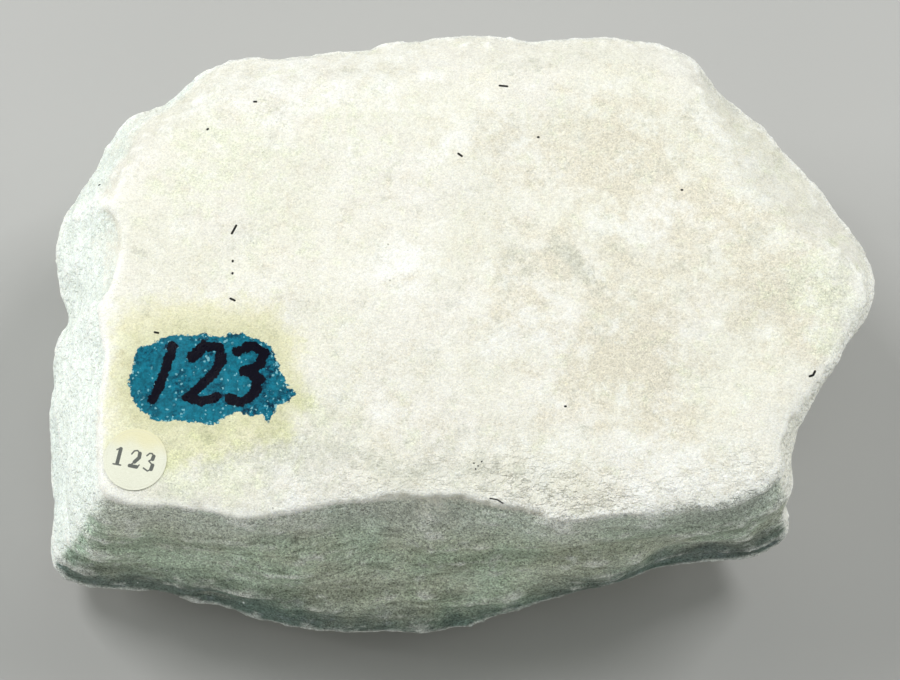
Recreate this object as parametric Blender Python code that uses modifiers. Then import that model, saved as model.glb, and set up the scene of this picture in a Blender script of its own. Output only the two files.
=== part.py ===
"""Marble hand specimen: one broken block of white marble, lying on its bed, with a round paper number label
stuck on its broad face. Units are metres, +Z is up, and the origin is under the middle of the block, at the
height that it rests on."""

import math

import bmesh
import bpy
from mathutils import Matrix, Vector, noise

MM = 0.001

# ---------------------------------------------------------------- driving dimensions, in millimetres

RIM_HEIGHT = 33.2  # of the broad face, where it meets the broken sides
CROWN = 2.4  # how much higher the middle of the broad face swells
SWELL_LENGTH, SWELL_WIDTH = 64.0, 44.0  # half sizes of that swelling
FOOT_HEIGHT = 3.0  # where the sides turn under, above the bed
BED_DEPTH = -0.9  # how far the bed would bulge below the resting plane, which cuts it off flat
BED_REST_RADIUS = 24.0  # of its middle, where its hollows fade out

LABEL_DIAMETER = 8.8
LABEL_THICKNESS = 0.15
LABEL_GAP = 0.3  # clear of the stone
LABEL_PLACE = (-44.2, -23.6)
LABEL_CALM_RADIUS = 8.0  # the broken relief fades out under the label

# Relief of the broken surface. Each kind has a height, a length and a shift that sets it apart.
SWELLS = [(1.0, 19.0, (0.0, 0.0, 0.0)), (0.6, 9.0, (3.1, 0.4, 7.7))]  # broad waves
CHIPS = [(1.0, 9.0, (1.7, 5.2, 0.9)), (0.4, 4.0, (6.3, 2.8, 4.1))]  # round hollows that meet in low ridges
BED_HOLLOWS = [(4.0, 15.0, (4.4, 8.1, 2.6)), (1.6, 5.0, (0.0, 0.0, 0.0))]  # under the block
CHIP_BRIM = 0.6  # share of a chip's length, out from its middle, where it's at the old surface
BED_HOLLOW_START = 0.6  # added to the waves under the block, so that most of them are hollows
LEVEL_SWELLS, STEEP_SWELLS = 0.5, 1.0  # share of the relief on a level face and on a steep one
LEVEL_CHIPS, STEEP_CHIPS = 0.3, 1.2

# The layers of the stone, which lie nearly level and show on its sides as long lumps and ledges.
LAYER_DIP = 0.05  # rise along X
LAYER_WAVE, LAYER_WAVE_LENGTH, LAYER_WAVE_SHIFT = 1.3, 24.0, 0.3
LUMP, LUMP_LENGTH, LUMP_HEIGHT = 0.8, 17.0, 4.5
LEDGE_LENGTH, LEDGE_HEIGHT, LEDGE_SHIFT = 15.0, 3.6, 3.7
FRONT_LEDGES, BACK_LEDGES = 0.35, 1.1  # how far one layer stands out past the next

FINE_MESH = 1.1  # spacing of the points that the broken relief is worked on
BLOCK_TRIANGLES = 9000  # kept of that fine mesh, most of them where the surface bends
LABEL_SIDES, LABEL_RINGS = 36, 3
WELD = 0.01  # points of the label closer than this are one
BED_CUT_SIZE = 200.0  # of the cutter that planes the bed

# Lines round the block, anticlockwise from the notch in its left side, as seen from above.
# The rim is the edge of the broad face: x, y.
RIM = [
    (-50.0, 0.5), (-49.4, -4.0), (-49.0, -10.0), (-49.0, -20.5), (-48.9, -27.6), (-47.0, -29.2),
    (-42.5, -30.2), (-37.5, -29.8), (-32.0, -31.6), (-24.0, -31.8), (-18.5, -30.5), (-12.0, -28.7),
    (-6.0, -28.3), (-3.0, -28.9), (-0.5, -28.7), (4.0, -29.2), (10.0, -30.2), (15.0, -32.6),
    (21.0, -32.8), (26.0, -31.9), (30.0, -30.4), (36.5, -29.8), (43.0, -27.4), (45.8, -24.9),
    (46.6, -21.0), (47.9, -16.4), (51.0, -12.6), (53.6, -8.9), (55.4, -5.2), (57.2, -2.2), (58.8, 1.6),
    (57.6, 5.4), (54.1, 7.9), (50.2, 10.3), (46.7, 14.0), (42.5, 17.5), (39.0, 23.0), (36.8, 31.0),
    (34.0, 35.8), (28.0, 37.8), (16.0, 37.5), (-7.0, 36.6), (-16.0, 35.3), (-30.0, 33.3), (-37.0, 30.3),
    (-42.0, 26.3), (-46.5, 20.7), (-48.9, 15.8), (-46.7, 10.0), (-47.4, 4.5),
]
# The girth is the widest line of the sides: x, y, z.
GIRTH = [
    (-59.0, 0.0, 10), (-58.9, -3.0, 9), (-60.0, -9.0, 8), (-59.3, -18.5, 8), (-58.6, -28.0, 7),
    (-57.8, -31.9, 6), (-50.9, -34.5, 5), (-44.1, -34.6, 5), (-40.5, -35.7, 5), (-35.0, -35.8, 4),
    (-30.0, -37.6, 4), (-23.8, -40.2, 4), (-14.7, -40.3, 4), (-3.0, -40.7, 4), (3.0, -40.3, 4),
    (7.7, -39.4, 5), (14.0, -36.3, 6), (23.7, -33.7, 8), (34.0, -31.2, 8), (43.6, -30.8, 8),
    (49.6, -27.5, 9), (48.4, -24.9, 12), (47.7, -22.1, 17), (47.6, -19.4, 24), (49.1, -16.6, 29),
    (52.2, -12.6, 29), (54.5, -9.1, 29), (56.7, -5.4, 29), (58.7, -2.5, 29), (60.3, 1.2, 29),
    (61.2, 4.4, 28), (61.2, 7.8, 27), (60.5, 10.8, 27), (57.2, 14.6, 27), (52.8, 21.4, 27),
    (49.5, 26.5, 27), (46.7, 29.9, 27), (43.7, 32.3, 26), (40.2, 35.9, 27), (36.7, 39.4, 28),
    (34.9, 41.7, 28), (31.4, 42.9, 28), (28.1, 43.5, 28.5), (16.0, 43.4, 28.5), (8.0, 43.0, 28.5),
    (3.0, 43.6, 28.5), (-9.6, 43.1, 28.5), (-12.7, 41.4, 28.5), (-23.0, 40.3, 28), (-30.7, 39.0, 27.5),
    (-36.2, 37.6, 27), (-39.0, 36.4, 26), (-41.6, 34.4, 25), (-47.3, 31.9, 24), (-51.4, 27.4, 23),
    (-54.6, 22.3, 21), (-57.2, 17.8, 19), (-57.8, 12.0, 16), (-56.6, 5.8, 13), (-56.2, 4.0, 11),
]
# The foot is where the sides turn under to the bed: x, y.
FOOT = [
    (-55.5, -1.0), (-56.5, -14.0), (-56.0, -28.0), (-48.0, -32.5), (-36.0, -33.8), (-24.0, -36.8),
    (-10.0, -38.2), (2.0, -37.6), (13.0, -32.6), (27.0, -26.5), (41.0, -22.5), (44.0, -16.0),
    (45.5, -7.0), (51.0, 3.0), (53.5, 10.0), (49.0, 17.5), (42.0, 27.5), (33.0, 37.0), (16.0, 40.5),
    (-8.0, 40.0), (-26.0, 37.5), (-42.0, 31.0), (-52.0, 19.0), (-54.5, 7.0),
]
# Shallow hollows of the broad face: x, y, radius, depth.
HOLLOWS = [
    (17.0, 9.0, 13.0, 0.8), (33.0, 22.0, 14.0, 0.7), (-22.0, 21.0, 17.0, 0.6), (38.0, -8.0, 12.0, 0.6),
    (-5.0, -12.0, 15.0, 0.4),
]

BEARINGS = 240  # upright lines of the first, rough shape
TOP_STEPS = [0.06, 0.2, 0.4, 0.6, 0.8, 0.92]  # rings of the broad face, as shares of the way to the rim
BED_STEPS = [0.9, 0.72, 0.45, 0.2]  # rings of the bed, as shares of the way to the foot
BED_TURN = 6  # power of the bed's curve: nearly flat, then turning up close to the foot
SIDE_STEPS = 6  # rings between the rim and the girth, and between the girth and the foot
FACING_DOWN = 0.7  # how much a face of the bed looks down, from 0 to 1
SIDE_BULGE = 0.8  # how far the sides swell between the rim and the girth


# ---------------------------------------------------------------- the form of the block


def reach(line, bearing):
    """Where the ray at this bearing from the block's middle crosses a line: its x, y and further values."""
    direction = Vector((math.cos(bearing), math.sin(bearing)))
    for start, end in zip(line, line[1:] + line[:1]):
        first, last = Vector(start[:2]), Vector(end[:2])
        before, after = direction.cross(first), direction.cross(last)
        if before <= 0 < after and direction.dot(first + last) > 0:
            share = before / (before - after)
            return Vector(start).lerp(Vector(end), share)
    raise ValueError(f"no crossing at bearing {math.degrees(bearing):.1f}")


def top_height(x, y):
    """Height of the broad face: a low swelling with shallow hollows."""
    height = RIM_HEIGHT + CROWN * max(0.0, 1 - (x / SWELL_LENGTH) ** 2 - (y / SWELL_WIDTH) ** 2)
    for hollow_x, hollow_y, radius, depth in HOLLOWS:
        height -= depth * math.exp(-((x - hollow_x) ** 2 + (y - hollow_y) ** 2) / radius**2)
    return height


def section(bearing):
    """One upright line of points from the middle of the broad face, over the rim and girth, to the bed."""
    rim, girth, foot = (reach(line, bearing) for line in (RIM, GIRTH, FOOT))
    points = [Vector((rim.x * s, rim.y * s, top_height(rim.x * s, rim.y * s))) for s in TOP_STEPS]
    rim = Vector((rim.x, rim.y, top_height(rim.x, rim.y)))
    foot = Vector((foot.x, foot.y, FOOT_HEIGHT))
    outwards = Vector((math.cos(bearing), math.sin(bearing), 0))
    for start, end, bulge in ((rim, girth, SIDE_BULGE), (girth, foot, SIDE_BULGE / 2)):
        for step in range(SIDE_STEPS):
            share = step / SIDE_STEPS
            points.append(start.lerp(end, share) + outwards * bulge * math.sin(math.pi * share))
    points.append(foot)
    for share in BED_STEPS:
        depth = BED_DEPTH + (FOOT_HEIGHT - BED_DEPTH) * share**BED_TURN
        points.append(Vector((foot.x * share, foot.y * share, depth)))
    return points


def rough_block():
    """The loft of all sections, closed by one point on the broad face and one under the bed."""
    bm = bmesh.new()
    sections = [section(2 * math.pi * n / BEARINGS) for n in range(BEARINGS)]
    rings = [[bm.verts.new(line[level]) for line in sections] for level in range(len(sections[0]))]
    for upper, lower in zip(rings, rings[1:]):
        for n in range(BEARINGS):
            after = (n + 1) % BEARINGS
            bm.faces.new((upper[n], lower[n], lower[after], upper[after]))
    top = bm.verts.new((0, 0, top_height(0, 0)))
    bed = bm.verts.new((0, 0, BED_DEPTH))
    for n in range(BEARINGS):
        after = (n + 1) % BEARINGS
        bm.faces.new((top, rings[0][n], rings[0][after]))
        bm.faces.new((bed, rings[-1][after], rings[-1][n]))
    bmesh.ops.scale(bm, vec=(MM, MM, MM), verts=bm.verts)
    mesh = bpy.data.meshes.new("marble_block")
    bm.to_mesh(mesh)
    bm.free()
    return mesh


# ---------------------------------------------------------------- the broken surface


def waves(point, kinds):
    """Soft noise of several heights and lengths, in millimetres."""
    return sum(height * noise.noise(point / length + Vector(shift)) for height, length, shift in kinds)


def chips(point):
    """Conchoidal chips: round hollows of two sizes that meet in low ridges."""
    total = 0.0
    for height, length, shift in CHIPS:
        from_middles, _ = noise.voronoi(point / length + Vector(shift))
        total += height * (from_middles[0] - CHIP_BRIM)
    return total


def layers(point, ledges):
    """Long lumps along the layers, and ledges where one broke off short of the next."""
    across = Vector((point.x, point.y, 0.0))
    above = Vector((0.0, 0.0, 1.0))
    wave = LAYER_WAVE * noise.noise(across / LAYER_WAVE_LENGTH + LAYER_WAVE_SHIFT * above)
    level = point.z + LAYER_DIP * point.x + wave
    lumps = LUMP * noise.noise(across / LUMP_LENGTH + level / LUMP_HEIGHT * above)
    layer = math.floor(level / LEDGE_HEIGHT)
    return lumps + ledges * noise.noise(across / LEDGE_LENGTH + LEDGE_SHIFT * layer * above)


def bed_hollows(point):
    """Depth of the bed's uneven hollows, which leave its middle for the block to rest on."""
    place = Vector((point.x, point.y, 0.0))
    away = 1 - math.exp(-place.length_squared / BED_REST_RADIUS**2)
    return away * max(0.0, BED_HOLLOW_START + waves(place, BED_HOLLOWS))


def label_calm(point):
    """0 under the label, rising to 1 away from it."""
    away = math.hypot(point.x - LABEL_PLACE[0], point.y - LABEL_PLACE[1]) / LABEL_CALM_RADIUS
    return min(1.0, away**2) if point.z > RIM_HEIGHT / 2 else 1.0


def break_surface(bm):
    """Pushes each point along its normal by the fracture's relief, which is bolder on the sides."""
    bm.normal_update()
    moves = []
    for vert in bm.verts:
        point = vert.co / MM
        steep = 1 - abs(vert.normal.z)
        relief = waves(point, SWELLS) * (LEVEL_SWELLS + (STEEP_SWELLS - LEVEL_SWELLS) * steep)
        relief += chips(point) * (LEVEL_CHIPS + (STEEP_CHIPS - LEVEL_CHIPS) * steep)
        ledges = FRONT_LEDGES if vert.normal.y < 0 else BACK_LEDGES
        relief += layers(point, ledges) * steep
        if vert.normal.z < -FACING_DOWN:
            relief -= bed_hollows(point)
        moves.append(vert.normal * relief * label_calm(point) * MM)
    for vert, move in zip(bm.verts, moves):
        vert.co += move


def centre(mesh):
    """Puts the origin under the block's middle, and returns how far that moved it."""
    lows = [min(vert.co[axis] for vert in mesh.vertices) for axis in range(2)]
    highs = [max(vert.co[axis] for vert in mesh.vertices) for axis in range(2)]
    middle = Vector(((lows[0] + highs[0]) / 2, (lows[1] + highs[1]) / 2, 0))
    mesh.transform(Matrix.Translation(-middle))
    return middle


# ---------------------------------------------------------------- materials and objects


def finish(name, colour, roughness):
    material = bpy.data.materials.new(name)
    material.use_nodes = True
    shader = material.node_tree.nodes["Principled BSDF"]
    shader.inputs["Base Color"].default_value = (*colour, 1)
    shader.inputs["Roughness"].default_value = roughness
    shader.inputs["Metallic"].default_value = 0.0
    return material


def apply_modifiers(obj):
    graph = bpy.context.evaluated_depsgraph_get()
    obj.data = bpy.data.meshes.new_from_object(obj.evaluated_get(graph))
    obj.modifiers.clear()


def cut_flat(block, cutters):
    """Cuts the bed off level at the height of the origin, so that the block rests on a flat face."""
    bpy.ops.mesh.primitive_cube_add(size=BED_CUT_SIZE * MM, location=(0, 0, -BED_CUT_SIZE * MM / 2))
    below = bpy.context.object
    below.name = "below_the_bed"
    below.display_type = "WIRE"
    below.hide_render = True
    for collection in below.users_collection:
        collection.objects.unlink(below)
    cutters.objects.link(below)
    cut = block.modifiers.new("flat_bed", "BOOLEAN")
    cut.operation = "DIFFERENCE"
    cut.object = below


def make_block(collection, cutters):
    """The block, broken all over and cut flat under. Returns it and how far it was moved to its origin."""
    block = bpy.data.objects.new("marble_block", rough_block())
    collection.objects.link(block)
    remesh = block.modifiers.new("even_mesh", "REMESH")
    remesh.mode = "VOXEL"
    remesh.voxel_size = FINE_MESH * MM
    apply_modifiers(block)

    bm = bmesh.new()
    bm.from_mesh(block.data)
    break_surface(bm)
    bmesh.ops.triangulate(bm, faces=bm.faces)
    fine_triangles = len(bm.faces)
    bm.to_mesh(block.data)
    bm.free()
    thin = block.modifiers.new("fewer_triangles", "DECIMATE")
    thin.ratio = BLOCK_TRIANGLES / fine_triangles
    apply_modifiers(block)
    middle = centre(block.data)
    cut_flat(block, cutters)
    block.data.shade_smooth()
    block.data.materials.clear()
    block.data.materials.append(finish("white_marble", (0.86, 0.84, 0.76), 0.55))
    return block, middle


def make_label(collection, block, middle):
    """A punched paper disc that follows the stone's surface a hair above it."""
    mesh = bpy.data.meshes.new("number_label")
    radius = LABEL_DIAMETER * MM / 2
    spoke = [(radius * n / LABEL_RINGS, 0, 0) for n in range(LABEL_RINGS + 1)]
    mesh.from_pydata(spoke, [(n, n + 1) for n in range(LABEL_RINGS)], [])
    label = bpy.data.objects.new("number_label", mesh)
    collection.objects.link(label)
    turn = label.modifiers.new("turn", "SCREW")
    turn.steps = turn.render_steps = LABEL_SIDES
    turn.use_merge_vertices = True
    turn.merge_threshold = WELD * MM
    apply_modifiers(label)
    above = Vector((LABEL_PLACE[0] * MM, LABEL_PLACE[1] * MM, 2 * RIM_HEIGHT * MM)) - middle
    label.data.transform(Matrix.Translation(above))

    press = label.modifiers.new("press_on", "SHRINKWRAP")
    press.target = block
    press.wrap_method = "PROJECT"
    press.use_project_z = True
    press.use_negative_direction = True
    press.use_positive_direction = False
    press.wrap_mode = "ABOVE_SURFACE"
    press.offset = LABEL_GAP * MM
    paper = label.modifiers.new("paper", "SOLIDIFY")
    paper.thickness = LABEL_THICKNESS * MM
    paper.offset = 1.0
    label.data.materials.append(finish("label_paper", (0.87, 0.86, 0.74), 0.75))


def clear_scene():
    for obj in list(bpy.data.objects):
        bpy.data.objects.remove(obj, do_unlink=True)


def main():
    clear_scene()
    specimen = bpy.data.collections.new("marble_specimen")
    cutters = bpy.data.collections.new("cutters")
    for collection in (specimen, cutters):
        bpy.context.scene.collection.children.link(collection)
    block, middle = make_block(specimen, cutters)
    make_label(specimen, block, middle)


main()
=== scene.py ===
import math

import bpy
import numpy as np
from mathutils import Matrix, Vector


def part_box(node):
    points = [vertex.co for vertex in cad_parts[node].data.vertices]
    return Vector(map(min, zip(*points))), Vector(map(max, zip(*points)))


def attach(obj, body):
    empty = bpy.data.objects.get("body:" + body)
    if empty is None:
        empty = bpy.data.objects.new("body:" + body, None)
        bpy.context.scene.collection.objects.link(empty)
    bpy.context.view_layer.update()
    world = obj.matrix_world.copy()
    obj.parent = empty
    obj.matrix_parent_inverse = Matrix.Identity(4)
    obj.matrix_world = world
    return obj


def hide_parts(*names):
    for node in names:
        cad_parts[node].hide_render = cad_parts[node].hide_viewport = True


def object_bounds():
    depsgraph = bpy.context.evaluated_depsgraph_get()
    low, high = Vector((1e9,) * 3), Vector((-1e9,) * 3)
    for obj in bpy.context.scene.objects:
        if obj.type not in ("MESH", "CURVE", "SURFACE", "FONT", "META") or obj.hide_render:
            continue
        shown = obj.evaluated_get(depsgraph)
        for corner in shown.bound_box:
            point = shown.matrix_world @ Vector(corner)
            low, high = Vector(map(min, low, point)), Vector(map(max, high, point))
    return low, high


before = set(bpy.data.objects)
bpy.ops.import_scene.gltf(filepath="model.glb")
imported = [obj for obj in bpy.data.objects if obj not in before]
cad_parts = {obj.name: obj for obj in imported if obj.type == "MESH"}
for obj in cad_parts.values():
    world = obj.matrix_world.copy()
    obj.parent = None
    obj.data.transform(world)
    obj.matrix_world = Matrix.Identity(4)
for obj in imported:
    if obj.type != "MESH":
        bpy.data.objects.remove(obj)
cad_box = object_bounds()

# ================================================================ the block of marble
# A hand specimen knocked off a bed of white, sugary marble with a hammer: one solid piece of interlocked
# calcite crystals. The broad face is a smooth break, the sides are rough, and it lies loose on its bed.
# A patch of blue paint with inked numerals, and a stain of old varnish round it, are on its broad face.

# Lengths are in millimetres, and places are in a drawing of the broad face.
MM = 0.001
DRAWN_FROM = (-44.2, -23.6)  # the middle of the label in that drawing
MESH_STEP = 0.57  # between the points of the finished surface
DOUBLES_WITHIN = 0.005
SOFTEN_ALL, SOFTEN_FACE = 8, 50  # rounds of smoothing
SURROUNDINGS = 14  # rounds of averaging
LABEL_CALM = 6.5  # radius of the even patch under the label
MARKS_FROM = 25  # the marks of the broad face are all above this height

label_low, label_high = (np.array(corner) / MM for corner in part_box("number_label"))
label_middle = (label_low + label_high) / 2
drawing_middle = label_middle[:2] - DRAWN_FROM


def modifier(piece, kind, **settings):
    """Adds a modifier to the active piece and applies it."""
    made = piece.modifiers.new(kind.lower(), kind)
    for name, value in settings.items():
        setattr(made, name, value)
    bpy.ops.object.modifier_apply(modifier=made.name)


def read_points(piece, what="co"):
    """The places of all points, or what else each has that is three numbers."""
    values = np.empty(len(piece.data.vertices) * 3, np.float32)
    piece.data.vertices.foreach_get(what, values)
    return values.reshape(-1, 3).astype(float)


def write_points(piece, points):
    piece.data.vertices.foreach_set("co", points.astype(np.float32).ravel())
    piece.data.update()


def ease(values, low, high):
    """A soft step: 0 at the low value, 1 at the high one."""
    share = np.clip((values - low) / (high - low), 0, 1)
    return share * share * (3 - 2 * share)


def near(points, places):
    """How much each point lies in a list of soft round spots: x, y, radius, strength."""
    total = np.zeros(len(points))
    for x, y, radius, strength in places:
        away = np.hypot(points[:, 0] - x - drawing_middle[0], points[:, 1] - y - drawing_middle[1])
        total += strength * np.exp(-((away / radius) ** 2))
    return total


def weight(piece, name, weights):
    """Makes a group of points, each with its own weight."""
    group = piece.vertex_groups.new(name=name)
    for index in np.flatnonzero(weights > 0.01):
        group.add([int(index)], float(weights[index]), "REPLACE")


def attribute(piece, name, values):
    """Gives each point a number that the material reads."""
    made = piece.data.attributes.new(name, "FLOAT", "POINT")
    made.data.foreach_set("value", values.astype(np.float32))


# The finer skin starts as the solid with even, softened points.
bpy.ops.object.select_all(action="DESELECT")
block = bpy.data.objects.new("broken_marble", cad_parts["marble_block"].data.copy())
bpy.context.scene.collection.objects.link(block)
bpy.context.view_layer.objects.active = block
block.select_set(True)
bpy.ops.object.mode_set(mode="EDIT")
bpy.ops.mesh.select_all(action="SELECT")
bpy.ops.mesh.remove_doubles(threshold=DOUBLES_WITHIN * MM)
bpy.ops.object.mode_set(mode="OBJECT")
modifier(block, "REMESH", mode="VOXEL", voxel_size=MESH_STEP * MM)
upward = read_points(block, "normal")[:, 2]
weight(block, "broad_face", ease(upward, 0.75, 0.95))
modifier(block, "SMOOTH", factor=0.5, iterations=SOFTEN_ALL)
modifier(block, "SMOOTH", factor=0.5, iterations=SOFTEN_FACE, vertex_group="broad_face")

# Where each kind of relief goes. The front rim is bruised, most of all right of its middle: x, y, radius,
# strength.
RIM_BRUISES = [
    (-22, -30, 4, 0.4), (-12, -27, 5, 0.5), (-2, -26, 4, 0.6), (8, -27, 5, 0.9), (16, -30, 5, 1.0),
    (24, -30, 5, 0.8), (33, -28, 4, 0.6), (41, -25, 4, 0.6),
]
points, upward = read_points(block) / MM, read_points(block, "normal")[:, 2]
steep = ease(1 - np.abs(upward), 0.1, 0.6)
off_bed = ease(points[:, 2], 0.2, 2.5)
from_label = np.hypot(*(points[:, :2] - label_middle[:2]).T)
calm = ease(from_label, 0.6 * LABEL_CALM, 1.5 * LABEL_CALM)
bruised = np.clip(near(points, RIM_BRUISES), 0, 1) * ease(upward, 0.5, 0.8) * ease(points[:, 2], 28, 31)
rim = ease(upward, 0.35, 0.6) * ease(upward, 0.97, 0.8) * ease(points[:, 2], 20, 26)
weight(block, "sides", steep * off_bed * calm)
weight(block, "rim", rim * calm)
weight(block, "all_but_bed", (0.3 + 0.7 * steep) * off_bed * calm)
weight(block, "level", ease(upward, 0.3, 0.9) * calm)
weight(block, "bruised", np.clip(bruised + 0.35 * steep, 0, 1) * off_bed * calm)

# Group, depth, size of its lumps, and how many rounds of finer lumps lie on them.
RELIEFS = [
    ("level", 0.6, 13.0, 1), ("sides", 1.1, 6.0, 1), ("sides", 1.0, 3.0, 2), ("rim", 0.9, 1.8, 2),
    ("bruised", 0.45, 1.7, 2), ("all_but_bed", 0.5, 1.1, 2),
]
LEDGES = ("sides", 3.0)  # these lumps are drawn out level, as ledges
LEDGE_STRETCH = (4.0, 4.0, 0.6)

for group, depth, size, layers in RELIEFS:
    lumps = bpy.data.textures.new(f"relief_{group}_{size}", "CLOUDS")
    lumps.noise_basis = "ORIGINAL_PERLIN"
    lumps.noise_depth = layers
    pushed = {"texture": lumps, "strength": depth * MM, "vertex_group": group}
    if (group, size) == LEDGES:
        lumps.noise_scale = 1.0
        ruler = bpy.data.objects.new("ruler", None)
        bpy.context.scene.collection.objects.link(ruler)
        ruler.scale = [size * MM * share for share in LEDGE_STRETCH]
        bpy.context.view_layer.update()
        modifier(block, "DISPLACE", texture_coords="OBJECT", texture_coords_object=ruler, **pushed)
        bpy.data.objects.remove(ruler)
    else:
        lumps.noise_scale = size * MM
        modifier(block, "DISPLACE", texture_coords="LOCAL", **pushed)

# Back to the size that the solid has, with nothing below the bed.
points = read_points(block)
points[:, 2] = np.maximum(points[:, 2], 0)
low, high = points.min(axis=0), points.max(axis=0)
solid_low, solid_high = (np.array(corner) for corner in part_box("marble_block"))
points = solid_low + (points - low) * (solid_high - solid_low) / (high - low)
write_points(block, points)
block.data.shade_smooth()
block.vertex_groups.clear()

points, normals = read_points(block) / MM, read_points(block, "normal")
edges = np.empty(len(block.data.edges) * 2, np.int32)
block.data.edges.foreach_get("vertices", edges)
starts, ends = edges.reshape(-1, 2).T
neighbours = np.bincount(edges, minlength=len(points))


def averaged(values, rounds):
    """Each point takes the middle of its neighbours' values, over and over."""
    for _ in range(rounds):
        around = [np.bincount(starts, values[ends, axis], len(values))
                  + np.bincount(ends, values[starts, axis], len(values)) for axis in range(3)]
        values = np.stack(around, axis=1) / neighbours[:, None]
    return values


# How far each point stands out of its surroundings: above 0 on ridges, below 0 in pits.
attribute(block, "ridge", ((points - averaged(points, SURROUNDINGS)) * normals).sum(axis=1))

# Which way the stone faces, without its small relief. The steep front ends at its right corner, and near
# there its colour, partly painted shade, climbs over the rim as painted shade: x, y, radius, strength.
SHADE_OVER_THE_RIM = [
    (33, -30, 4, 0.4), (39, -28, 4, 0.5), (44, -25, 4, 0.5),
]
facing = averaged(normals, SURROUNDINGS)
facing /= np.linalg.norm(facing, axis=1)[:, None]
shade_climbs = near(points, SHADE_OVER_THE_RIM) * ease(facing[:, 2], 0.97, 0.88) * ease(points[:, 2], 24, 28)
steepness = np.clip(ease(np.abs(facing[:, 2]), 0.85, 0.40) + shade_climbs, 0, 1)
before_corner = ease(points[:, 1], -18, -24)
attribute(block, "steep", steepness)
attribute(block, "front", ease(facing[:, 1], -0.35, -0.75) * steepness * before_corner)
attribute(block, "left", ease(facing[:, 0], -0.25, -0.7))
attribute(block, "right", ease(facing[:, 0], 0.25, 0.7))
attribute(block, "back", ease(facing[:, 1], 0.10, 0.35))


def inside(points, outline):
    """Distance in from the edge of a closed outline, below 0 outside it."""
    outline = np.array(outline) + drawing_middle
    within = np.zeros(len(points), bool)
    nearest = np.full(len(points), np.inf)
    for start, end in zip(outline, np.roll(outline, -1, axis=0)):
        along = end - start
        share = np.clip((points - start) @ along / (along @ along), 0, 1)
        nearest = np.minimum(nearest, np.linalg.norm(points - start - share[:, None] * along, axis=1))
        beside = (start[1] > points[:, 1]) != (end[1] > points[:, 1])
        crossing = start[0] + (points[:, 1] - start[1]) * along[0] / (along[1] or 1)
        within ^= beside & (points[:, 0] < crossing)
    return np.where(within, nearest, -nearest)


# The outlines of the paint and the varnish.
PAINT = [
    (-44.9, -8.6), (-44.2, -7.1), (-42.1, -6.2), (-39.3, -5.1), (-36.0, -5.3), (-34.6, -5.0),
    (-33.2, -5.6), (-32.0, -5.7), (-30.9, -4.8), (-28.8, -5.4), (-25.2, -6.9), (-24.6, -8.6),
    (-24.0, -10.4), (-23.3, -12.7), (-21.9, -13.7), (-22.0, -14.9), (-23.9, -15.9), (-25.1, -17.1),
    (-25.5, -19.1), (-26.1, -17.4), (-28.7, -17.4), (-29.7, -16.8), (-31.4, -17.4), (-33.2, -18.8),
    (-35.6, -18.3), (-41.7, -17.9), (-43.8, -16.4), (-44.7, -14.9), (-45.6, -11.9), (-44.8, -10.7),
]
VARNISH = [
    (-49.0, -2.2), (-45.5, -0.2), (-34.9, 0.8), (-29.9, -0.2), (-24.5, -1.0), (-21.3, -4.3),
    (-20.7, -10.3), (-20.3, -15.6), (-22.4, -21.5), (-33.1, -24.5), (-44.0, -26.0), (-49.2, -25.0),
]
# The stains, and the places that are cleaner: x, y, radius, strength.
TAN = [
    (30, 0, 22, 0.25), (30, 24, 14, 0.2), (7, 5, 4, 0.5), (10, 0, 5, 0.6), (14, 7, 4, 0.7),
    (6, 25, 5, 0.5), (13, 22, 7, 0.5), (23, 30, 6, 0.4), (27, 23, 7, 0.7), (22, 18, 5, 0.5),
    (24, -6, 6, 0.6), (28, -9, 6, 0.7), (20, -12, 5, 0.6), (27, -15, 5, 0.5), (36, 16, 4, 0.7),
    (41, 13, 3, 0.6), (44, 6, 6, 0.6), (50, 0, 6, 0.6), (52, -6, 4, 0.5), (45, -4, 5, 0.4),
    (32, -18, 4, 0.6), (15, -16, 5, 0.3), (34, 8, 6, 0.4), (21, 4, 4, 0.6), (27, 2, 5, 0.4),
    (-8, -15, 7, 0.3),
]
GREEN = [
    (-11, 24, 7, 0.4), (-32, 23, 7, 0.6), (-39, 18, 6, 0.5), (-21, 31, 7, 0.4), (-26, 11, 8, 0.3),
    (54, 5, 6, 0.8), (55, -3, 5, 0.8), (44, 22, 6, 0.4), (-40, -27, 5, 0.8), (-32, -25, 6, 0.8),
    (-23, -23, 6, 0.5), (-17, -16, 5, 0.4),
]
GREY = [
    (-33, -23, 4, 0.9), (-26, -24, 4, 0.9), (-21, -22, 4, 0.6), (-18, -25, 3, 0.7), (-15, -22, 3, 0.7),
    (-11, -25, 3, 0.9), (-3, -25, 3, 0.7), (1, -24, 3, 0.5), (6, -26, 3, 0.7), (10, -25, 2, 0.5),
    (13, -28, 2, 0.7), (18, -29, 2, 0.5), (15.2, 8.8, 1.8, 0.8), (16.6, 6.9, 1.5, 1.1),
    (18.0, 5.3, 1.2, 1.5), (19.8, 3.2, 1.2, 1.6), (21.4, 1.3, 1.2, 1.0), (9, 4, 4, 0.6), (57, 2, 4, 0.9),
    (-17, -19, 4, 0.4), (-50, 12, 4, 0.6), (11, 8, 3, 0.4), (51, 2, 4, 0.4), (44, 9, 3, 0.4),
    (35, -13, 3, 0.4),
]
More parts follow.
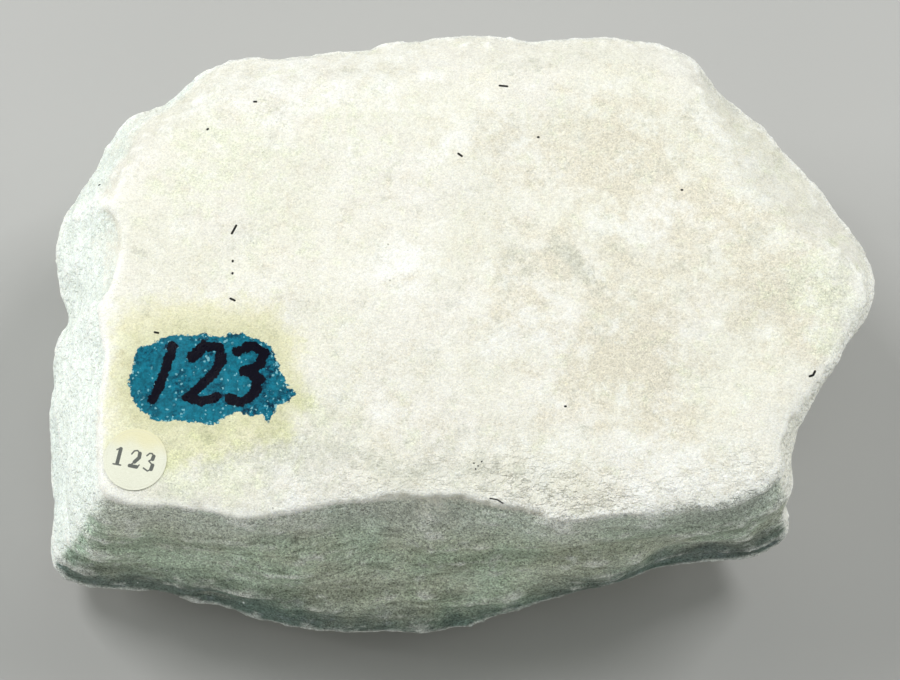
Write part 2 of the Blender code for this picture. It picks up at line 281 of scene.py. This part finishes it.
WHITE = [
    (-8, 6, 4, 0.7), (-7, 2, 3, 0.7), (-4, 6, 3, 0.5), (-10, 35, 6, 0.7), (-22, 35, 6, 0.7),
    (-32, 33, 5, 0.6), (-39, 29, 4, 0.5), (-1, 25, 4, 0.5), (37, 28, 3, 0.7), (42, 23, 3, 0.7),
    (45, 15, 3, 0.6), (13, -4, 4, 0.5), (4, -7, 4, 0.4), (15, -24, 4, 0.4), (28, -28, 8, 0.7),
    (-15, -15, 4, 0.4), (-7, -18, 4, 0.4), (24, 11, 3, 0.6), (30, 12, 3, 0.4), (-48, -8, 6, 0.8),
    (-48, -22, 6, 0.8), (-22, -30, 6, 0.6), (38, -26, 5, 0.6),
]
FAR_OUTSIDE = -50.0
LEVEL_ENOUGH = 0.88  # the varnish ends where the face bends down further than this
BEND_LENGTH = 40  # millimetres for each whole step of that bend

on_top = points[:, 2] > MARKS_FROM
for name, places in (("tan", TAN), ("green", GREEN), ("grey", GREY), ("white", WHITE)):
    attribute(block, name, near(points, places) * on_top)
attribute(block, "paint", np.where(on_top, inside(points[:, :2], PAINT), FAR_OUTSIDE))
before_bend = BEND_LENGTH * (facing[:, 2] - LEVEL_ENOUGH)
varnish = np.minimum(inside(points[:, :2], VARNISH), before_bend)
attribute(block, "varnish", np.where(on_top, varnish, FAR_OUTSIDE))
attribute(block, "bruised", np.clip(near(points, RIM_BRUISES), 0, 1) * ease(facing[:, 2], 0.4, 0.7) * on_top)


def node(tree, kind, inputs=None, **settings):
    """Adds a shader node. Each input is a value, or the output that it is linked from."""
    made = tree.nodes.new("ShaderNode" + kind)
    for name, value in settings.items():
        setattr(made, name, value)
    for name, value in (inputs or {}).items():
        if isinstance(value, bpy.types.NodeSocket):
            tree.links.new(value, made.inputs[name])
        else:
            made.inputs[name].default_value = value
    return made


def cloud(tree, where, size, detail, roughness=0.5, output="Fac"):
    """Soft noise about 0.5, in lumps of this many millimetres: one value, or three as a colour."""
    settings = {"Vector": where, "Scale": 1 / size, "Detail": detail, "Roughness": roughness}
    return node(tree, "TexNoise", settings).outputs[output]


def cells(tree, where, size):
    """Cells of this many millimetres: the distance from their middles, and a random colour for each."""
    found = node(tree, "TexVoronoi", {"Vector": where, "Scale": 1 / size, "Randomness": 1.0}).outputs
    return found["Distance"], found["Color"]


def parts(tree, colour):
    """The three values of a colour: Red, Green and Blue."""
    return node(tree, "SeparateColor", {0: colour}).outputs


def maths(tree, operation, first, second=0.0, clamp=False):
    """One sum, product or the like of two values."""
    made = node(tree, "Math", {0: first, 1: second}, operation=operation)
    made.use_clamp = clamp
    return made.outputs[0]


def plus(tree, value, other, times):
    """A value and so many times another one."""
    return maths(tree, "ADD", value, maths(tree, "MULTIPLY", other, times))


def vector(tree, operation, first, second=(0, 0, 0), output="Vector"):
    """One sum, product or the like of two vectors."""
    return node(tree, "VectorMath", {0: first, 1: second}, operation=operation).outputs[output]


def scaled(tree, whole, times):
    return node(tree, "VectorMath", {0: whole, "Scale": times}, operation="SCALE").outputs["Vector"]


def soft_step(tree, value, low, high, start=0.0, end=1.0):
    """Start below the low value, end above the high one, and a soft change between them."""
    spread = {"Value": value, "From Min": low, "From Max": high, "To Min": start, "To Max": end}
    return node(tree, "MapRange", spread, interpolation_type="SMOOTHSTEP").outputs["Result"]


def tint(tree, share, under, over, how="MIX"):
    """Lays one colour over another. A colour is three numbers or an output."""
    under, over = (c if isinstance(c, bpy.types.NodeSocket) else (*c, 1) for c in (under, over))
    mixed = node(tree, "Mix", {0: share, 6: under, 7: over}, data_type="RGBA", blend_type=how)
    return mixed.outputs[2]


def on_surface(tree, name):
    """A number that the points of the mesh carry."""
    return node(tree, "Attribute", attribute_name=name).outputs["Fac"]


def in_millimetres(tree, middle=(0, 0), turn=(0, 0, 0), stretch=(1, 1, 1)):
    """Object coordinates in millimetres from a middle, then turned, then stretched."""
    place = node(tree, "TexCoord").outputs["Object"]
    to_middle = {"Location": (-middle[0], -middle[1], 0), "Scale": (1 / MM, 1 / MM, 1 / MM)}
    place = node(tree, "Mapping", {"Vector": place} | to_middle).outputs[0]
    place = node(tree, "Mapping", {"Vector": place, "Rotation": turn}).outputs[0]
    return node(tree, "Mapping", {"Vector": place, "Scale": stretch}).outputs[0]


def new_pen():
    """A shader group that says how far a point lies inside a round-ended line, in millimetres."""
    pen = bpy.data.node_groups.new("pen_line", "ShaderNodeTree")
    for name in ("Point", "Start", "End"):
        pen.interface.new_socket(name, in_out="INPUT", socket_type="NodeSocketVector")
    pen.interface.new_socket("Half Width", in_out="INPUT", socket_type="NodeSocketFloat")
    pen.interface.new_socket("Depth", in_out="OUTPUT", socket_type="NodeSocketFloat")
    given = pen.nodes.new("NodeGroupInput").outputs
    result = pen.nodes.new("NodeGroupOutput")
    away = vector(pen, "SUBTRACT", given["Point"], given["Start"])
    along = vector(pen, "SUBTRACT", given["End"], given["Start"])
    reached = vector(pen, "DOT_PRODUCT", away, along, output="Value")
    whole = vector(pen, "DOT_PRODUCT", along, along, output="Value")
    share = maths(pen, "DIVIDE", reached, whole, clamp=True)
    foot = scaled(pen, along, share)
    distance = vector(pen, "DISTANCE", away, foot, output="Value")
    pen.links.new(maths(pen, "SUBTRACT", given["Half Width"], distance), result.inputs["Depth"])
    return pen


pen_line = new_pen()


def drawn(tree, where, routes, half_width):
    """How far each point lies inside lines drawn through the points of each route."""
    flat = vector(tree, "MULTIPLY", where, (1, 1, 0))
    depth = None
    for route in routes:
        for start, end in zip(route, route[1:]):
            line = node(tree, "Group", node_tree=pen_line)
            tree.links.new(flat, line.inputs["Point"])
            line.inputs["Start"].default_value = (*start, 0)
            line.inputs["End"].default_value = (*end, 0)
            line.inputs["Half Width"].default_value = half_width
            inside_line = line.outputs["Depth"]
            depth = maths(tree, "MAXIMUM", depth, inside_line) if depth else inside_line
    return depth


# The hand-inked numerals 1 2 3, and dark needles and grains of mineral in the broad face.
INK_WIDTH = 1.5
INKED = [
    [(-39.3, -6.9), (-40.2, -10.6), (-41.9, -14.8)],
    [(-36.4, -8.6), (-34.8, -6.9), (-32.6, -7.2), (-32.3, -9.2), (-34.2, -11.9), (-37.1, -14.6),
     (-35.0, -15.1), (-32.9, -14.6)],
    [(-30.1, -7.9), (-28.1, -6.9), (-26.3, -8.0), (-26.8, -9.8), (-29.0, -10.8), (-27.0, -11.8),
     (-27.5, -14.2), (-29.4, -15.5), (-31.2, -14.7)],
]
NEEDLE_WIDTH = 0.34
NEEDLES = [
    [(7.2, 33.3), (8.3, 33.2)], [(-31.2, 10.2), (-30.6, 11.4)], [(-31.2, 0.1), (-30.6, -0.2)],
    [(-41.9, -4.7), (-41.4, -4.8)], [(-35.1, 26.7), (-35.0, 26.8)], [(-28.4, 31.1), (-28.1, 31.1)],
    [(-31.0, 6.0), (-31.0, 5.9)], [(-31.0, 4.1), (-31.0, 4.0)], [(16.2, -16.1), (16.3, -16.1)],
    [(12.7, 25.3), (12.8, 25.3)], [(33.3, 17.2), (33.4, 17.2)], [(1.2, 22.4), (1.7, 22.0)],
    [(-51.0, 20.3), (-50.9, 20.2)], [(50.9, -11.1), (51.4, -10.9), (51.7, -10.3)],
]
GRAIN_WIDTH = 0.2
GRAINS = [
    [(3.9, -24.8), (4.0, -24.8)], [(3.3, -24.4), (3.4, -24.4)], [(4.4, -24.2), (4.5, -24.1)],
    [(3.6, -25.3), (3.6, -25.2)], [(5.6, -29.4), (6.6, -29.6), (7.4, -30.1)],
]

# Sizes of the marble's lumps, streaks, crystals and specks.
RAGGED_GRAIN, FINE_GRAIN, CRYSTAL = 1.3, 0.22, 0.27
CREAM_CLOUDS, STAIN_LUMPS, SIDE_LUMPS, GREEN_LUMPS = 16.0, 3.6, 8.0, 12.0
THIN_STREAK, WIDE_STREAK, STREAK_BEND, BEND_DEPTH = 1.1, 4.0, 11.0, 5.0
LAYERS_RISE, LAYERS_STRETCH = math.radians(9), (0.11, 0.11, 1.0)
CRACK_LUMPS, CRACK_STRETCH = 2.0, (0.4, 1.0, 1.0)
SPECKS_APART = 3.2
SWELLS, PITS = 1.2, 1.1
PAINT_STROKES, PAINT_CLOUDS = 0.75, 4.0
# The heights between which painted shade darkens the front's foot, and how far they rise at its ends.
FOOT_SHADE_TOP, FOOT_SHADE_BOTTOM, RIGHT_RISE, LEFT_RISE = 18.5, 9.0, 7.0, 3.5
# How deep its grain is, how far its crystals lean, and how rough it is.
CRYSTAL_DEPTH, FINE_DEPTH, SWELL_DEPTH, PIT_DEPTH, CRACK_DEPTH = 0.05, 0.06, 0.04, 0.30, 0.12
CRYSTAL_TILT = 0.16
STONE_ROUGH, LEAST_ROUGH, GLINT_SMOOTHER, PAINT_SMOOTHER = 0.62, 0.16, 0.45, 0.32

# Its own colours, with painted light and shade among them: the left side's is partly painted light, the
# front's pale spot also stands for painted light, the pit colour is painted shade and the bright speck a
# painted glint.
CREAM, WARM_CREAM = (0.76, 0.75, 0.66), (0.785, 0.77, 0.705)
SIDE, PALE_SIDE = (0.79, 0.80, 0.73), (0.86, 0.87, 0.82)
LEFT_SIDE_PALE_AND_LIT, RIGHT_SIDE = (0.86, 0.93, 0.87), (0.82, 0.82, 0.74)
FRONT_PALE_AND_LIT = (0.70, 0.73, 0.68)
FRESH_RIDGE, PIT_SHADE = (0.90, 0.91, 0.87), (0.55, 0.55, 0.47)
CRACK, NEEDLE = (0.46, 0.46, 0.38), (0.012, 0.012, 0.012)
DARK_SPECK, GLINT_SPECK = (0.16, 0.15, 0.12), (0.95, 1.0, 0.97)
DEEP_BLUE, BLUE, PALE_BLUE = (0.0005, 0.018, 0.042), (0.006, 0.18, 0.27), (0.008, 0.20, 0.28)
CHIPPED_BLUE = (0.28, 0.60, 0.66)
INK = (0.0008, 0.0003, 0.006)
# What these leave of the colour under them. The front's grey and green are partly painted shade, and the
# front's right end, its foot and the back are darkened with painted shade.
FRONT_GREY_AND_SHADE, FRONT_GREEN_AND_SHADE = (0.70, 0.75, 0.65), (0.66, 0.78, 0.66)
STREAK, RIGHT_END_SHADE = (0.62, 0.62, 0.60), (0.80, 0.80, 0.82)
FOOT_SHADE, BACK_SHADE = (0.31, 0.365, 0.40), (0.87, 0.87, 0.86)
VARNISHED, SOAKED = (0.95, 0.945, 0.77), (0.86, 0.87, 0.80)
# Each stain's colour and strength, the part of the noise that breaks it up, how much, and how ragged it is.
STAINS = {
    "tan": ((0.67, 0.63, 0.515), 0.80, "Red", 4.0, 0.6),
    "green": ((0.72, 0.75, 0.58), 0.75, "Green", 4.0, 0.6),
    "grey": ((0.50, 0.51, 0.43), 0.55, "Blue", 4.0, 2.5),
    "white": ((0.87, 0.88, 0.85), 0.70, "Red", -4.0, 0.6),
}

marble = bpy.data.materials.new("white_marble")
marble.use_nodes = True
tree = marble.node_tree
shader = tree.nodes["Principled BSDF"]
where = in_millimetres(tree)
place = node(tree, "SeparateXYZ", {0: where}).outputs
along, height = place["X"], place["Z"]
ragged = maths(tree, "SUBTRACT", cloud(tree, where, RAGGED_GRAIN, 4, 0.7), 0.5)
steep = soft_step(tree, plus(tree, on_surface(tree, "steep"), ragged, 0.9), 0.25, 0.80)
front = soft_step(tree, plus(tree, on_surface(tree, "front"), ragged, 0.6), 0.15, 0.90)
ridge = on_surface(tree, "ridge")

# The stone: cream white, with faint broken stains of tan, green and grey, and cleaner white places.
stain_edges = parts(tree, cloud(tree, where, STAIN_LUMPS, 4.0, 0.72, "Color"))
warm = soft_step(tree, cloud(tree, where, CREAM_CLOUDS, 3), 0.35, 0.65)
colour = tint(tree, warm, CREAM, WARM_CREAM)
stained = 0.0
for name, (stain, strength, part, broken_by, ragged_by) in STAINS.items():
    broken = maths(tree, "MULTIPLY", maths(tree, "SUBTRACT", stain_edges[part], 0.5), broken_by)
    broken = plus(tree, broken, ragged, ragged_by)
    share = maths(tree, "ADD", on_surface(tree, name), broken)
    share = soft_step(tree, share, 0.05, 1.35, 0.0, strength)
    colour = tint(tree, share, colour, stain)
    if name != "white":
        stained = maths(tree, "ADD", share, stained)

# Its sides cut across the layers, which show as long wavy streaks. The front is greyer and greener: partly
# its own colour, partly painted shade. Painted shade darkens it most along its foot, which rises towards
# both ends.
bend = scaled(tree, cloud(tree, where, STREAK_BEND, 1.0, output="Color"), BEND_DEPTH)
layered = in_millimetres(tree, turn=(0, LAYERS_RISE, 0), stretch=LAYERS_STRETCH)
layered = vector(tree, "ADD", layered, bend)
pale = soft_step(tree, cloud(tree, where, SIDE_LUMPS, 3, 0.6), 0.40, 0.62)
side = tint(tree, pale, SIDE, PALE_SIDE)
# The left side is paler and cooler: partly the stone, partly painted light.
side = tint(tree, on_surface(tree, "left"), side, LEFT_SIDE_PALE_AND_LIT)
side = tint(tree, on_surface(tree, "right"), side, RIGHT_SIDE)
green = soft_step(tree, cloud(tree, where, GREEN_LUMPS, 3), 0.40, 0.60)
# The front's greyer, greener colour: partly its own, partly painted shade.
side = tint(tree, front, side, tint(tree, green, FRONT_GREY_AND_SHADE, FRONT_GREEN_AND_SHADE), "MULTIPLY")
thin = soft_step(tree, cloud(tree, layered, THIN_STREAK, 3, 0.6), 0.50, 0.66)
wide = soft_step(tree, cloud(tree, layered, WIDE_STREAK, 3, 0.55), 0.44, 0.62, 0.0, 0.8)
streaks = maths(tree, "MAXIMUM", thin, wide)
streaks = maths(tree, "MULTIPLY", streaks, soft_step(tree, front, 0.0, 1.0, 0.25, 1.0))
side = tint(tree, streaks, side, STREAK, "MULTIPLY")
# Pale spots on the front, and painted light on its upper part.
pale_spots_and_lit_top = soft_step(tree, stain_edges["Green"], 0.54, 0.68, 0.0, 0.55)
pale_spots_and_lit_top = maths(tree, "MAXIMUM", pale_spots_and_lit_top, soft_step(tree, height, 24.0, 31.0, 0.0, 0.5))
side = tint(tree, maths(tree, "MULTIPLY", pale_spots_and_lit_top, front), side, FRONT_PALE_AND_LIT)
# Painted shade: the front darker and bluer towards its right end.
right_end_shade = maths(tree, "MULTIPLY", soft_step(tree, along, 20.0, 45.0), front)
side = tint(tree, right_end_shade, side, RIGHT_END_SHADE, "MULTIPLY")
# Painted shade along the front's foot, which rises towards both ends.
foot_shade_rises = maths(tree, "ADD", soft_step(tree, along, 4.0, 24.0, 0.0, RIGHT_RISE),
                   soft_step(tree, along, -10.0, -28.0, 0.0, LEFT_RISE))
foot = maths(tree, "SUBTRACT", plus(tree, height, stain_edges["Blue"], 9.0), foot_shade_rises)
foot = soft_step(tree, foot, FOOT_SHADE_TOP, FOOT_SHADE_BOTTOM)
foot = maths(tree, "MULTIPLY", foot, soft_step(tree, front, 0.0, 1.0, 0.2, 1.0))
side = tint(tree, foot, side, FOOT_SHADE, "MULTIPLY")
colour = tint(tree, steep, colour, side)
# Painted shade on the faces turned to the back.
colour = tint(tree, on_surface(tree, "back"), colour, BACK_SHADE, "MULTIPLY")
colour = tint(tree, soft_step(tree, ridge, 0.05, 0.35, 0.0, 0.6), colour, FRESH_RIDGE)
# Painted shade in the pits.
colour = tint(tree, soft_step(tree, ridge, -0.06, -0.4, 0.0, 0.35), colour, PIT_SHADE)

# Bruised places: chalky, with small dark cracks.
bruised = on_surface(tree, "bruised")
along_rim = in_millimetres(tree, stretch=CRACK_STRETCH)
crack = maths(tree, "ABSOLUTE", maths(tree, "SUBTRACT", cloud(tree, along_rim, CRACK_LUMPS, 3, 0.7), 0.5))
crack = maths(tree, "MULTIPLY", soft_step(tree, crack, 0.014, 0.0), bruised)
colour = tint(tree, maths(tree, "MULTIPLY", crack, 0.3), colour, CRACK)

# The crystals: small cells, each with its own shade and its own tilt, a few of them clean enough to glint.
crystal_middles, crystal_colours = cells(tree, where, CRYSTAL)
shade = parts(tree, crystal_colours)
fine = cloud(tree, where, FINE_GRAIN, 2, 0.7)
contrast = plus(tree, soft_step(tree, steep, 0.0, 1.0, 0.50, 0.65), stained, 0.45)
contrast = plus(tree, contrast, front, 1.5)
mottle = maths(tree, "ADD", maths(tree, "MULTIPLY", shade["Red"], 0.30), fine)
mottle = maths(tree, "MULTIPLY", maths(tree, "SUBTRACT", mottle, 0.65), contrast)
mottle = maths(tree, "ADD", mottle, 1.0)
mottle = node(tree, "CombineColor", {0: mottle, 1: mottle, 2: mottle}).outputs[0]
colour = tint(tree, 1.0, colour, mottle, "MULTIPLY")
glint = soft_step(tree, shade["Green"], 0.965, 0.975)

# Small dark specks, painted glints on the front, and the needles.
speck_middles, speck_colours = cells(tree, where, SPECKS_APART)
chance = parts(tree, speck_colours)
dark_size = maths(tree, "MULTIPLY", soft_step(tree, chance["Red"], 0.62, 1.0), 0.05)
dark = soft_step(tree, maths(tree, "SUBTRACT", speck_middles, dark_size), 0.015, -0.015, 0.0, 0.6)
colour = tint(tree, dark, colour, DARK_SPECK)
# Painted glints: bright specks on the front.
glint_speck_size = maths(tree, "MULTIPLY", soft_step(tree, chance["Green"], 0.55, 1.0), 0.055)
glint_specks = soft_step(tree, maths(tree, "SUBTRACT", speck_middles, glint_speck_size), 0.015, -0.015)
colour = tint(tree, maths(tree, "MULTIPLY", glint_specks, front), colour, GLINT_SPECK)
top_only = soft_step(tree, height, MARKS_FROM, MARKS_FROM + 1)
from_drawing = in_millimetres(tree, middle=drawing_middle)
needle = maths(tree, "MAXIMUM", drawn(tree, from_drawing, NEEDLES, NEEDLE_WIDTH / 2),
               drawn(tree, from_drawing, GRAINS, GRAIN_WIDTH / 2))
needle = maths(tree, "MULTIPLY", soft_step(tree, needle, -0.03, 0.04), top_only)
colour = tint(tree, needle, colour, NEEDLE)

# Old varnish, then the blue paint over it, then the ink.
varnish_edge = maths(tree, "MULTIPLY", maths(tree, "SUBTRACT", stain_edges["Green"], 0.5), 9.0)
varnish_edge = maths(tree, "ADD", on_surface(tree, "varnish"), varnish_edge)
colour = tint(tree, soft_step(tree, varnish_edge, -1.6, 2.6), colour, VARNISHED, "MULTIPLY")
paint_edge = plus(tree, on_surface(tree, "paint"), ragged, 2.2)
colour = tint(tree, soft_step(tree, paint_edge, -4.0, -0.2, 0.0, 0.9), colour, SOAKED, "MULTIPLY")
painted = soft_step(tree, paint_edge, -0.05, 0.10)
# The paint is mottled deep and lighter blue: partly its strokes, partly painted shade in its pits and
# painted glints.
thick = soft_step(tree, cloud(tree, where, PAINT_STROKES, 4, 0.75), 0.34, 0.66)
blue = tint(tree, thick, DEEP_BLUE, BLUE)
thin_paint = soft_step(tree, cloud(tree, where, PAINT_CLOUDS, 2), 0.42, 0.62, 0.0, 0.45)
blue = tint(tree, thin_paint, blue, PALE_BLUE)
chipped = maths(tree, "ADD", shade["Blue"], soft_step(tree, paint_edge, 1.4, 0.0, 0.0, 0.10))
blue = tint(tree, soft_step(tree, chipped, 0.965, 0.985, 0.0, 0.6), blue, CHIPPED_BLUE)
colour = tint(tree, painted, colour, blue)
ink_depth = plus(tree, drawn(tree, from_drawing, INKED, INK_WIDTH / 2), ragged, 1.6)
inked = maths(tree, "MULTIPLY", soft_step(tree, ink_depth, -0.05, 0.06), top_only)
colour = tint(tree, inked, colour, INK)
tree.links.new(colour, shader.inputs["Base Color"])

# Crystals that glint and the paint are smoother than the broken stone. Light sinks into the stone a little.
dull = maths(tree, "SUBTRACT", STONE_ROUGH, maths(tree, "MULTIPLY", glint, GLINT_SMOOTHER))
dull = maths(tree, "SUBTRACT", dull, maths(tree, "MULTIPLY", painted, PAINT_SMOOTHER), clamp=True)
dull = maths(tree, "MAXIMUM", dull, LEAST_ROUGH)
tree.links.new(dull, shader.inputs["Roughness"])
tree.links.new(maths(tree, "MULTIPLY", painted, 0.12), shader.inputs["Coat Weight"])
shader.inputs["Coat Roughness"].default_value = 0.15
shader.inputs["Specular IOR Level"].default_value = 0.15
shader.inputs["Subsurface Weight"].default_value = 0.18
shader.inputs["Subsurface Radius"].default_value = (1.0, 0.9, 0.7)
shader.inputs["Subsurface Scale"].default_value = 1.5 * MM

# Its grain: crystals, swells, and pits and cracks where it is broken. Paint fills most of it.
grain = plus(tree, maths(tree, "MULTIPLY", crystal_middles, -CRYSTAL_DEPTH), fine, FINE_DEPTH)
grain = plus(tree, grain, cloud(tree, where, SWELLS, 1, 0.6), SWELL_DEPTH)
broken = maths(tree, "MULTIPLY", bruised, 0.6)
broken = maths(tree, "ADD", broken, maths(tree, "MULTIPLY", steep, 0.6), clamp=True)
pits = maths(tree, "MULTIPLY", soft_step(tree, cloud(tree, where, PITS, 2, 0.65), 0.55, 0.35), broken)
grain = maths(tree, "SUBTRACT", grain, maths(tree, "MULTIPLY", pits, PIT_DEPTH))
grain = maths(tree, "SUBTRACT", grain, maths(tree, "MULTIPLY", crack, CRACK_DEPTH))
bare = maths(tree, "SUBTRACT", 1.0, maths(tree, "MULTIPLY", painted, 0.75))
bumps = {"Height": maths(tree, "MULTIPLY", grain, bare), "Distance": MM, "Strength": 1.0}
leaning = node(tree, "Bump", bumps).outputs[0]
tilt = vector(tree, "SUBTRACT", crystal_colours, (0.5, 0.5, 0.5))
tilt = scaled(tree, tilt, maths(tree, "MULTIPLY", bare, CRYSTAL_TILT))
leaning = vector(tree, "ADD", leaning, tilt)
tree.links.new(vector(tree, "NORMALIZE", leaning), shader.inputs["Normal"])

block.data.materials.clear()
block.data.materials.append(marble)
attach(block, "root")
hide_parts("marble_block")

# ================================================================ the number label
# A round paper dot, punched from a printed sheet and glued on the broad face. Its gum has yellowed the
# upper part. It has a thin printed border and printed numerals, with thick stems and thin hairlines.

LABEL_RADIUS = (label_high[0] - label_low[0]) / 2
LABEL_RINGS, LABEL_SOFTEN = 12, 10  # rings of faces, and rounds of smoothing
PAPER = 0.09  # thickness
GLUED_AT = 0.04  # above the stone
BORDER_IN = 0.35  # from the edge
FIBRES, FIBRES_STRETCH, GUM_CLOUDS = 0.35, (1.0, 2.2, 1.0), 2.5
PRINT_TURN = math.radians(13)
STEM, HAIRLINE = 0.56, 0.24  # widths of the thick and thin strokes
STEMS = [
    [(-2.35, 1.05), (-2.35, -1.1)], [(0.45, 0.95), (0.5, 0.35), (0.0, -0.4)],
    [(-0.55, -1.05), (0.45, -1.05)], [(2.45, 0.95), (2.4, 0.5)], [(2.6, -0.35), (2.55, -0.95)],
]
HAIRLINES = [
    [(-2.85, 0.85), (-2.35, 1.15)], [(-2.9, -1.25), (-1.8, -1.25)],
    [(-0.65, 0.65), (-0.4, 1.15), (0.05, 1.3), (0.45, 0.95)], [(0.0, -0.4), (-0.65, -1.2)],
    [(0.55, -1.1), (0.75, -0.7)], [(1.5, 0.85), (1.8, 1.25), (2.15, 1.3), (2.45, 0.95)],
    [(2.4, 0.5), (1.95, 0.15), (2.6, -0.35)], [(2.55, -0.95), (2.1, -1.3), (1.45, -1.0)],
]
PAPER_WHITE, PAPER_PALE, YELLOWED = (0.71, 0.72, 0.59), (0.77, 0.78, 0.66), (0.74, 0.71, 0.46)
BORDER, PRINT = (0.62, 0.61, 0.50), (0.03, 0.04, 0.04)

bpy.ops.object.select_all(action="DESELECT")
above_the_stone = 2 * cad_box[1][2]
bpy.ops.mesh.primitive_circle_add(vertices=96, radius=LABEL_RADIUS * MM, fill_type="NGON",
                                  location=(*(label_middle[:2] * MM), above_the_stone))
label = bpy.context.object
label.name = "paper_label"
bpy.ops.object.mode_set(mode="EDIT")
bpy.ops.mesh.select_all(action="SELECT")
for _ in range(LABEL_RINGS):
    bpy.ops.mesh.inset(thickness=LABEL_RADIUS * MM / (LABEL_RINGS + 1))
bpy.ops.mesh.poke()
bpy.ops.object.mode_set(mode="OBJECT")
bpy.ops.object.transform_apply(location=True, rotation=True, scale=True)
modifier(label, "SHRINKWRAP", target=block, wrap_method="PROJECT", use_project_z=True,
         use_negative_direction=True, use_positive_direction=False, wrap_mode="ABOVE_SURFACE",
         offset=GLUED_AT * MM)
modifier(label, "SMOOTH", factor=0.5, iterations=LABEL_SOFTEN, use_x=False, use_y=False)
modifier(label, "SOLIDIFY", thickness=PAPER * MM, offset=1.0)
bpy.ops.object.shade_smooth_by_angle(angle=math.radians(40))

paper = bpy.data.materials.new("label_paper")
paper.use_nodes = True
tree = paper.node_tree
shader = tree.nodes["Principled BSDF"]
where = in_millimetres(tree, middle=label_middle[:2], turn=(0, 0, PRINT_TURN))
fibres = cloud(tree, in_millimetres(tree, stretch=FIBRES_STRETCH), FIBRES, 4, 0.7)
colour = tint(tree, soft_step(tree, fibres, 0.3, 0.7), PAPER_WHITE, PAPER_PALE)
upper = node(tree, "SeparateXYZ", {0: where}).outputs["Y"]
upper = plus(tree, upper, cloud(tree, where, GUM_CLOUDS, 3), 3.0)
colour = tint(tree, soft_step(tree, upper, 2.0, 5.0, 0.0, 0.9), colour, YELLOWED)
out = vector(tree, "LENGTH", vector(tree, "MULTIPLY", where, (1, 1, 0)), output="Value")
border = maths(tree, "ABSOLUTE", maths(tree, "SUBTRACT", out, LABEL_RADIUS - BORDER_IN))
colour = tint(tree, soft_step(tree, border, 0.09, 0.03, 0.0, 0.25), colour, BORDER)
printed = maths(tree, "MAXIMUM", drawn(tree, where, STEMS, STEM / 2),
                drawn(tree, where, HAIRLINES, HAIRLINE / 2))
printed = plus(tree, printed, fibres, 0.08)
colour = tint(tree, soft_step(tree, printed, 0.02, 0.08, 0.0, 0.9), colour, PRINT)
tree.links.new(colour, shader.inputs["Base Color"])
shader.inputs["Roughness"].default_value = 0.7
raised = node(tree, "Bump", {"Height": fibres, "Distance": 0.05 * MM, "Strength": 1.0}).outputs[0]
tree.links.new(raised, shader.inputs["Normal"])
label.data.materials.append(paper)
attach(label, "root")
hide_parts("number_label")

# ================================================================ floor, light and camera
# A plain pale table under soft studio light: two lamps behind and above, two weaker ones at the sides, and
# a faint one in front. The camera looks down on the broad face. Places here are in metres.

FLOOR_RADIUS = 4.0
FLOOR_GREY = (0.42, 0.42, 0.41)

bpy.ops.object.select_all(action="DESELECT")
bpy.ops.mesh.primitive_circle_add(vertices=128, radius=FLOOR_RADIUS, fill_type="NGON", location=(0, 0, 0))
floor = bpy.context.object
floor.name = "floor"
table = bpy.data.materials.new("pale_table")
table.use_nodes = True
table.node_tree.nodes["Principled BSDF"].inputs["Base Color"].default_value = (*FLOOR_GREY, 1)
table.node_tree.nodes["Principled BSDF"].inputs["Roughness"].default_value = 0.8
floor.data.materials.append(table)


def aim(thing, place, target):
    """Puts a lamp or a camera at a place, looking at a target."""
    thing.location = place
    thing.rotation_euler = (Vector(target) - Vector(place)).to_track_quat("-Z", "Y").to_euler()


# Name, place, width, depth and power in watts.
LAMPS = [
    ("back_left_lamp", (-0.70, 0.62, 0.95), 0.5, 0.3, 9.1),
    ("back_right_lamp", (0.70, 0.58, 0.95), 0.5, 0.3, 7.8),
    ("left_lamp", (-1.1, 0.3, 0.45), 0.4, 0.4, 5.6),
    ("right_lamp", (1.1, 0.3, 0.45), 0.4, 0.4, 3.0),
    ("front_lamp", (-0.1, -1.0, 0.4), 0.6, 0.4, 1.75),
]
LAMPS_LOOK_AT = (0, 0, 0.02)
for name, place, width, depth, power in LAMPS:
    data = bpy.data.lights.new(name, "AREA")
    data.shape = "RECTANGLE"
    data.size, data.size_y, data.energy = width, depth, power
    lamp = bpy.data.objects.new(name, data)
    bpy.context.scene.collection.objects.link(lamp)
    aim(lamp, place, LAMPS_LOOK_AT)

STUDIO_COLOUR, STUDIO_STRENGTH = (0.95, 1.0, 0.93), 0.28
world = bpy.data.worlds.new("studio")
world.use_nodes = True
world.node_tree.nodes["Background"].inputs["Color"].default_value = (*STUDIO_COLOUR, 1)
world.node_tree.nodes["Background"].inputs["Strength"].default_value = STUDIO_STRENGTH
bpy.context.scene.world = world

CAMERA_AWAY = 0.6
CAMERA_ABOVE = math.radians(70)
CAMERA_LOOKS_AT = 18 * MM  # above the floor
LENS = 164.4  # focal length in millimetres
target = (drawing_middle[0] * MM, drawing_middle[1] * MM, CAMERA_LOOKS_AT)
lens = bpy.data.cameras.new("camera")
lens.lens = LENS
camera = bpy.data.objects.new("camera", lens)
bpy.context.scene.collection.objects.link(camera)
aim(camera, (target[0], target[1] - CAMERA_AWAY * math.cos(CAMERA_ABOVE),
             target[2] + CAMERA_AWAY * math.sin(CAMERA_ABOVE)), target)
bpy.context.scene.camera = camera
bpy.context.scene.view_settings.view_transform = "Standard"
